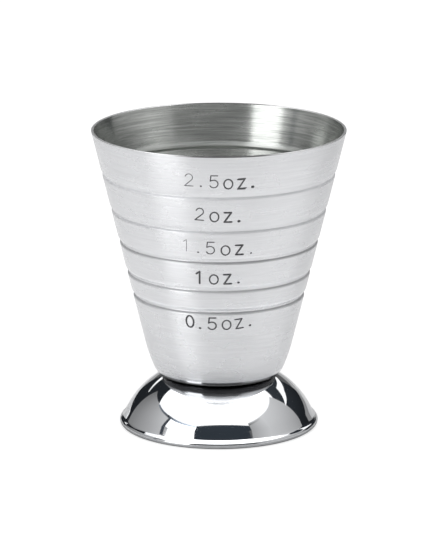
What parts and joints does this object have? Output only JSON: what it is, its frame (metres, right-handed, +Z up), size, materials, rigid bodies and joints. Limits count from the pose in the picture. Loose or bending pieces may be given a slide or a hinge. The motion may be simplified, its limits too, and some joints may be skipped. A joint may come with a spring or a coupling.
{
  "type": "measuring cup",
  "caption": "Footed bar measure: a conical steel bowl with rolled level beads round its wall, welded to a polished hollow bell foot with a hemmed flange.",
  "frame": {"origin": "middle of the foot's seat on the table", "axes": "+Z up along the axis of the bowl and the foot, -Y towards the face that carries the scale"},
  "size_m": [0.062, 0.062, 0.0739],
  "materials": {
    "brushed_bowl": "stainless steel, satin brushed round the axis inside and out, with a bright heel",
    "mirror_foot": "stainless steel, mirror polished",
    "weld_metal": "cast weld metal, hidden between the sheets"
  },
  "bodies": {
    "root": {"measuring_bowl": "brushed_bowl", "bell_foot": "mirror_foot", "spot_welds": "weld_metal"}
  },
  "joints": []
}
